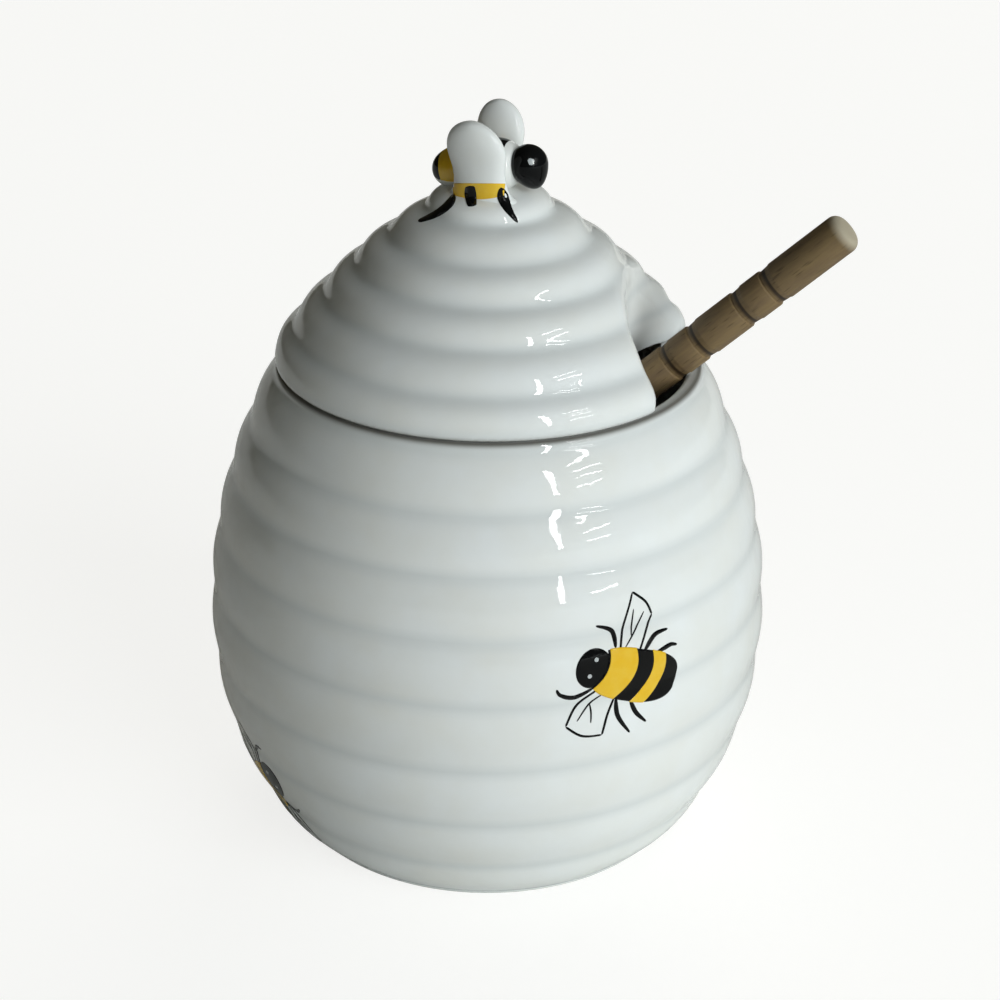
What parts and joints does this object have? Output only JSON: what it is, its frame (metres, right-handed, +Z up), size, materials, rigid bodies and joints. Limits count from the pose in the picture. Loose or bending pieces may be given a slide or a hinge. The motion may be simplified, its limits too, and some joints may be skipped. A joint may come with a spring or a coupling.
{
  "type": "honey pot with lift-off lid",
  "caption": "Glazed hive-shaped honey pot with a ringed lift-off lid, a bee knob, and a wooden dipper leaning out of the lid's scooped notch.",
  "frame": {"origin": "centre of the foot, on the surface that the pot stands on", "axes": "+Z up along the pot's axis, +X towards the notch, along which the dipper leans out"},
  "size_m": [0.1261, 0.1132, 0.1487],
  "materials": {
    "white_glaze": "gloss",
    "yellow_glaze": "gloss",
    "black_glaze": "gloss",
    "turned_wood": "matte"
  },
  "bodies": {
    "pot": {"pot": "white_glaze"},
    "lid": {"lid": "white_glaze", "bee_body": "yellow_glaze", "bee_head": "black_glaze", "bee_wing_left": "white_glaze", "bee_wing_right": "white_glaze"},
    "dipper": {"honey_dipper": "turned_wood"}
  },
  "joints": [
    {"name": "lid_lift", "type": "slide", "parent": "pot", "child": "lid", "axis": [0, 0, 1], "range_m": [0, 0.08]},
    {"name": "dipper_slide", "type": "slide", "parent": "pot", "child": "dipper", "axis": [0.7314, 0, 0.682], "range_m": [0, 0.058]}
  ]
}
